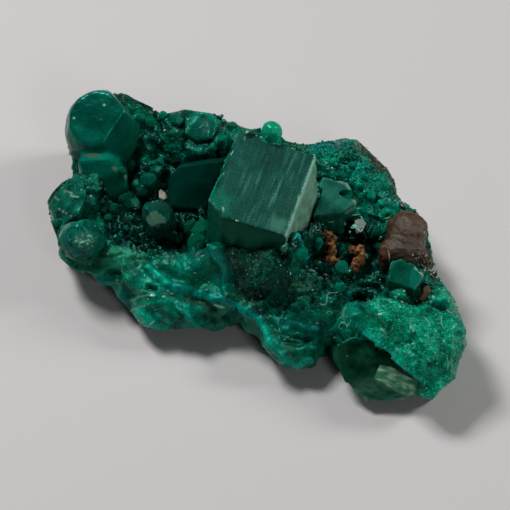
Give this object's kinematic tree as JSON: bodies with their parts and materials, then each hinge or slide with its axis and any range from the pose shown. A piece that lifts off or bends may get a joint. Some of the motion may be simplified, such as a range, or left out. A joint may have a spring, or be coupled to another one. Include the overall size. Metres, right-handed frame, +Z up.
{
  "type": "dioptase mineral specimen",
  "caption": "Crust of intergrown emerald-green dioptase crystals, broken off its rock, with a large blocky crystal, a brown botryoidal nodule and rusty limonite; lies on its broken underside.",
  "frame": {"origin": "under the middle of the specimen's box, on the flat broken underside that it lies on", "axes": "+X along the specimen's length, +Z up out of the crust towards the crystals, the display side faces -Y and +X"},
  "size_m": [0.0452, 0.0264, 0.0168],
  "materials": {
    "crust_green": "drusy, vitreous to waxy, deep emerald green",
    "crystal_green": "vitreous, see-through deep emerald green with fine striations",
    "dark_crystal": "glassy, clear, almost black green",
    "nodule_brown": "botryoidal, dull to slightly silky brown",
    "limonite": "earthy, rusty orange brown"
  },
  "bodies": {
    "root": {"dioptase_crust": "crust_green", "central_crystal": "crystal_green", "upper_left_crystals": "crystal_green", "shaded_crystal": "dark_crystal", "broken_tip_crystal": "crystal_green", "left_edge_crystal": "crystal_green", "left_rounded_crystal": "crystal_green", "far_ridge_crystal": "crystal_green", "broken_plate_crystal": "crystal_green", "box_crystal": "crystal_green", "clear_dark_crystal": "dark_crystal", "lower_right_crystal": "crystal_green", "brown_nodule": "nodule_brown", "brown_chip": "nodule_brown", "limonite_sprig_left": "limonite", "limonite_sprig_right": "limonite"}
  },
  "joints": []
}
